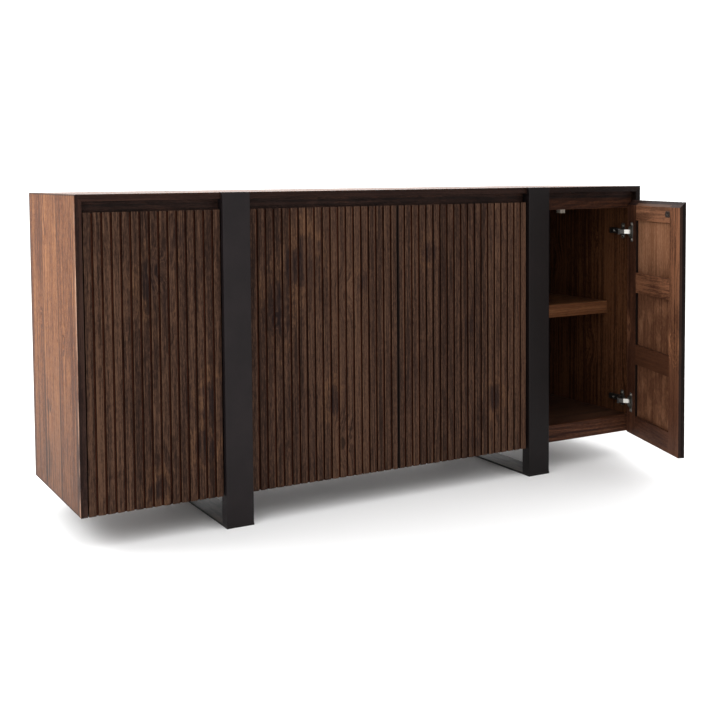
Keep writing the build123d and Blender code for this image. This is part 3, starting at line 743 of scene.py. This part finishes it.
def knot_curls(place):
    """Pale and dark curls round a knot in a stile."""
    def curls(surface, figure):
        graph = surface.graph
        distance = spot_distance(surface, [place])
        curl = graph.noise(graph.join(distance, 0.0, graph.parts(surface.point)[2]), CURL_SCALE, 3.0, 0.6)
        return graph.times(graph.step(curl, 0.50, 0.66), graph.step(distance, *KNOT_CURLS))
    return curls


def cloudy_panel(surface, figure):
    """Pale blotches on the recessed panels."""
    graph = surface.graph
    blotch = graph.noise(surface.point, BLOTCH_SCALE, 4.0, 0.6)
    return graph.times(rear_face(surface, figure), graph.step(blotch, 0.46, 0.66))


def painted_seam_shade(side):
    """Painted shade in the seam: the free edge of a centre door, beside its neighbour."""
    def beside(surface, figure):
        return along(surface, "X", side * (CENTRE_DOOR - SEAM_SHADE_REACH[0]), side * (CENTRE_DOOR - SEAM_SHADE_REACH[1]))
    return beside


def reed_place(surface, side, pitch):
    """How far across a closed door from its hinge, in reeds."""
    graph = surface.graph
    across = graph.add(graph.times(graph.parts(surface.point)[0], side), PIVOT_INSET)
    return graph.math("DIVIDE", across, pitch)


def reed_tone(side, pitch):
    """Some reeds are a little darker than their neighbours."""
    def darker(surface, figure):
        graph = surface.graph
        reed = graph.math("FLOOR", reed_place(surface, side, pitch))
        inputs = {"Vector": graph.join(reed, pitch, side)}
        return graph.node("TexWhiteNoise", inputs, noise_dimensions="3D").outputs["Value"]
    return darker


def reed_edge_highlights(side, pitch):
    """A painted highlight along the eased edges of each reed."""
    def edge_highlights(surface, figure):
        graph = surface.graph
        place = graph.math("FRACT", reed_place(surface, side, pitch))
        from_middle = graph.math("ABSOLUTE", graph.add(place, -REED_SHARE / 2))
        return graph.step(from_middle, *REED_HIGHLIGHT_PLACE)
    return edge_highlights


# each door's dark patches: X and Z from its pivot when it is closed, and their reach along X and Z
SPOTS = {
    1: ((0.225, 0.760, 0.022, 0.035), (0.160, 0.650, 0.026, 0.060), (0.200, 0.600, 0.018, 0.040),
        (0.325, 0.310, 0.034, 0.060), (0.300, 0.225, 0.026, 0.034), (0.170, 0.130, 0.022, 0.030)),
    2: ((0.140, 0.680, 0.048, 0.062), (0.082, 0.545, 0.036, 0.066), (0.235, 0.300, 0.022, 0.034),
        (0.330, 0.620, 0.018, 0.030)),
    3: ((-0.190, 0.470, 0.020, 0.026), (-0.330, 0.690, 0.026, 0.030), (-0.110, 0.250, 0.024, 0.034)),
    4: ((-0.200, 0.560, 0.030, 0.050),),
}
# patches of lighter wood, in the same terms
GLOWING = {
    1: ((0.232, 0.712, 0.010, 0.022), (0.275, 0.712, 0.010, 0.020)),
    2: ((0.030, 0.620, 0.016, 0.050),),
}
STILE_KNOT = (-0.315, 0.417, 0.013, 0.032)  # in door 4's free stile

# a frame piece's name, the order of its fields, its boards' width, its knots and its contrast
FRAME_PIECES = (
    ("hinge_stile", "XYZ", 0.4, 0.2, LIVELY),
    ("free_stile", "XYZ", 0.4, 1.0, LIVELY),
    ("rails", "ZYX", RAIL_SPACING, 0.2, CALM),
)


def front_stains_and_light(number):
    """The stains, painted light and painted shade of a door's reeded board, on its front and its rear."""
    side = 1 if number in (1, 2) else -1
    pitch = SIDE_REED if number in (1, 4) else CENTRE_REED
    stains_and_painted_light = [
        (REED_TONES[:2], 0.30, reed_tone(side, pitch)),
        (PATCH_STAIN, 0.3, dark_patch),
        # painted highlight along the reeds' edges
        (REED_EDGE_HIGHLIGHT_TONES, 0.55, reed_edge_highlights(side, pitch)),
        (EMBER_STAIN, 0.45, spots_rim(SPOTS[number])),
        (PATCH_STAIN, 0.85, spots_heart(SPOTS[number])),
    ]
    if number in GLOWING:
        stains_and_painted_light.append((EMBER_STAIN, 0.8, spots_heart(GLOWING[number])))
    stains_and_painted_light += [
        # dark stain and painted shade in the grooves
        (GROOVE_STAIN_AND_SHADE, 0.97, groove),
        (EDGE_STAIN, 0.95, bevel_band),
        (PANEL_STAIN, 0.9, rear_face),
        # painted light on the upper panels, then the panels' own pale blotches
        (PALE_PANEL_AND_PAINTED_LIGHT, 0.6, painted_light_panel),
        (PALE_PANEL_AND_PAINTED_LIGHT, 0.4, cloudy_panel),
        (BLACK_STAIN_AND_SHADE, 0.9, door_rim),
    ]
    if number in (2, 3):
        # painted shade in the seam between the centre doors
        stains_and_painted_light.append((BLACK_STAIN_AND_SHADE, 0.95, painted_seam_shade(side)))
    return stains_and_painted_light


def frame_stains_and_light(number, piece):
    """The stains, painted light and painted shade of one of a door's frame pieces."""
    # painted shade on the frame's lower part
    stains_and_painted_light = [(LOW_FRAME_PAINTED_SHADE, 0.75, painted_low_frame_shade)]
    if (number, piece) == (4, "free_stile"):
        stains_and_painted_light.append((CURL_STAIN, 0.7, knot_curls(STILE_KNOT)))
    stains_and_painted_light += [(BLACK_STAIN_AND_SHADE, 0.92, door_rim), (EDGE_STAIN, 0.95, bevel_band)]
    if piece == "rails":
        # the darkest rail's own tone, and painted light on the uppermost rail
        stains_and_painted_light += [(RAIL_TONE_AND_PAINTED_LIGHT, 0.8, dark_rail), (PALE_PANEL_AND_PAINTED_LIGHT, 0.18, painted_light_top_rail)]
    return stains_and_painted_light


for number in range(1, 5):
    turn = closing_turn(number)
    seed = 70.1 + 7.0 * number
    material = wood(f"wood_reeds_{number}", REED_TONES, "XYZ", seed, board=0.119, knots=0.25,
                    contrast=FLECKED, swirl=0.12, turn=turn, stains_and_painted_light=front_stains_and_light(number), gloss=0.05,
                    easing=None)
    set_material(f"door_{number}_front", material)
    for piece, order, board, knots, contrast in FRAME_PIECES:
        seed += 1.0
        material = wood(f"wood_{piece}_{number}", FRAME_TONES, order, seed, board, knots, contrast,
                        variety=0.5, rings=0.1, swirl=0.35, turn=turn, stains_and_painted_light=frame_stains_and_light(number, piece),
                        gloss=0.07)
        set_material(f"door_{number}_{piece}", material)

# ---------------------------------------------------------------- hardware

# one black powder coat in two copies: painted light on the left upright and painted shade on the right one
COAT_PAINTED_LIGHT_LEFT = powder_coat("black_coat_painted_light_left", tone(22, 17, 18), 0.5)
COAT_PAINTED_SHADE_RIGHT = powder_coat("black_coat_painted_shade_right", tone(12, 7, 7), 0.5)
# the floor plates' upper face is mottled with a painted reflection of the wood above
PLATE_PAINTED_REFLECTION = (tone(34, 26, 22), tone(92, 78, 68))
PLATE_COAT = powder_coat("black_coat_plate", tone(18, 14, 13), 0.45, PLATE_PAINTED_REFLECTION)
# the arms, mounting plates and cups are the pins' nickel in darker copies: painted dark reflection
NICKEL_PAINTED_DARK_REFLECTION = plated("nickel_painted_dark_reflection", (0.10, 0.095, 0.09, 1.0), 0.42, DEEP_SCRATCH)
NICKEL_PAINTED_DIM_REFLECTION = plated("nickel_painted_dim_reflection", (0.30, 0.29, 0.27, 1.0), 0.42, DEEP_SCRATCH)
BRIGHT_NICKEL = plated("bright_nickel", (0.72, 0.70, 0.66, 1.0), 0.26, FINE_SCRATCH)
ZINC = plated("zinc", (0.42, 0.42, 0.41, 1.0), 0.40, DEEP_SCRATCH)
BLACKENED = powder_coat("blackened_steel", tone(46, 38, 34), 0.38)
PLASTIC = moulded("pale_plastic", tone(112, 104, 95))

# the material of each node whose name has these letters in it
HARDWARE = {
    "upright_left": COAT_PAINTED_LIGHT_LEFT,
    "upright_right": COAT_PAINTED_SHADE_RIGHT,
    "floor_plate": PLATE_COAT,
    "leg_bolts": ZINC,
    "shelf_pins": ZINC,
    "hinge_arms": NICKEL_PAINTED_DARK_REFLECTION,
    "hinge_mounting_plates": NICKEL_PAINTED_DIM_REFLECTION,
    "hinge_pins": BRIGHT_NICKEL,
    "magnetic_catches": PLASTIC,
    "hinge_cups": NICKEL_PAINTED_DIM_REFLECTION,
    "screws": BRIGHT_NICKEL,
    "strike_plate": BLACKENED,
}
for name in NODES:
    for part, material in HARDWARE.items():
        if part in name:
            set_material(name, material)

# each link's dark part is painted shade under the arm's cheeks
LINK_BRIGHT = (0.56, 0.54, 0.50, 1.0)
LINK_PAINTED_SHADE = (0.05, 0.047, 0.044, 1.0)
CHEEK_REACH = 0.017  # how far from the link's pin the arm's cheeks cover it
for number in range(1, 5):
    pin = joint_called(f"link_{number}_pivot")["pos_m"]
    link = plated_link(f"nickel_link_{number}", pin, LINK_BRIGHT, LINK_PAINTED_SHADE, CHEEK_REACH)
    set_material(f"door_{number}_hinge_links", link)

# ---------------------------------------------------------------- floor, light and camera

FLOOR_REACH = 60.0
FLOOR_CLOUD_SCALE = 1.2
FLOOR_TINTS = ((0.86, 0.86, 0.86, 1.0), (0.90, 0.90, 0.90, 1.0))


def white_floor():
    """A wide plain floor at Z = 0."""
    material, graph = new_material("pale_floor")
    cloud = graph.noise(graph.node("TexCoord").outputs["Object"], FLOOR_CLOUD_SCALE)
    tint = graph.mix(cloud, *FLOOR_TINTS)
    inputs = {"Base Color": tint, "Roughness": 0.6, "Specular IOR Level": 0.2}
    finish_surface(graph, graph.node("BsdfPrincipled", inputs))
    mesh = bpy.data.meshes.new("floor")
    signs = ((-1, -1), (1, -1), (1, 1), (-1, 1))
    corners = [(x * FLOOR_REACH, y * FLOOR_REACH, 0) for x, y in signs]
    mesh.from_pydata(corners, [], [(0, 1, 2, 3)])
    floor = bpy.data.objects.new("floor", mesh)
    floor.data.materials.append(material)
    bpy.context.scene.collection.objects.link(floor)


def soft_light(name, place, target, size, power):
    """A rectangular soft box that looks at a point."""
    light = bpy.data.lights.new(name, "AREA")
    light.shape = "RECTANGLE"
    light.size, light.size_y = size
    light.energy = power
    lamp = bpy.data.objects.new(name, light)
    lamp.location = place
    lamp.rotation_euler = (Vector(target) - Vector(place)).to_track_quat("-Z", "Y").to_euler()
    bpy.context.scene.collection.objects.link(lamp)


DIM_SIDE = (0.70, -0.71, 0.0)  # the studio is dimmest in this direction
WHITE = (1.0, 1.0, 1.0, 1.0)
DIM_EDGE = (0.3, 0.95)  # the cosine to DIM_SIDE where the dim part begins and is full
ZENITH_EDGE = (0.15, 0.95)  # the height in the sky where the top light begins and is full


def studio_world(horizon, zenith, dim):
    """A white studio: brightest overhead, and dim in front of the case and to its right."""
    world = bpy.data.worlds.new("studio")
    world.use_nodes = True
    graph = Graph(world.node_tree)
    direction = graph.node("TexCoord").outputs["Generated"]
    away = graph.step(graph.vector("DOT_PRODUCT", direction, DIM_SIDE), *DIM_EDGE)
    level = graph.spread(away, horizon, dim)
    height = graph.step(graph.parts(direction)[2], *ZENITH_EDGE)
    background = world.node_tree.nodes["Background"]
    graph.put(background.inputs["Color"], WHITE)
    graph.put(background.inputs["Strength"], graph.spread(height, level, zenith))
    bpy.context.scene.world = world


CAMERA_PLACE = Vector((-1.60476, -2.86953, 0.90705))
CAMERA_YAW = radians(-29.23772)
CAMERA_PITCH = radians(3.17337)
CAMERA_ROLL = radians(-0.46114)
SENSOR = 36.0
LENS = 56.04
SHIFT = (-0.0005, -0.1675)


def camera():
    """The camera at the photograph's place, turned by its yaw, pitch and roll."""
    data = bpy.data.cameras.new("camera")
    data.sensor_width = SENSOR
    data.lens = LENS
    data.shift_x, data.shift_y = SHIFT
    eye = bpy.data.objects.new("camera", data)
    right = Vector((cos(CAMERA_YAW), sin(CAMERA_YAW), 0))
    ahead = Vector((-sin(CAMERA_YAW), cos(CAMERA_YAW), 0))
    up = Vector((0, 0, 1))
    look = ahead * cos(CAMERA_PITCH) - up * sin(CAMERA_PITCH)
    above = up * cos(CAMERA_PITCH) + ahead * sin(CAMERA_PITCH)
    level = right * cos(CAMERA_ROLL) + above * sin(CAMERA_ROLL)
    above = above * cos(CAMERA_ROLL) - right * sin(CAMERA_ROLL)
    turn = Matrix((level, above, -look)).transposed()
    eye.matrix_world = Matrix.Translation(CAMERA_PLACE) @ turn.to_4x4()
    bpy.context.scene.collection.objects.link(eye)
    bpy.context.scene.camera = eye


bpy.context.scene.view_settings.view_transform = "Standard"
white_floor()
studio_world(horizon=1.70, zenith=1.90, dim=0.55)
soft_light("left_key", place=(-3.0, 1.2, 2.46), target=(0, 0, 0.5), size=(1.6, 1.6), power=58.0)
soft_light("right_fill", place=(3.2, 0.7, 0.8), target=(0.6, 0, 0.0), size=(1.2, 1.2), power=34.0)
camera()
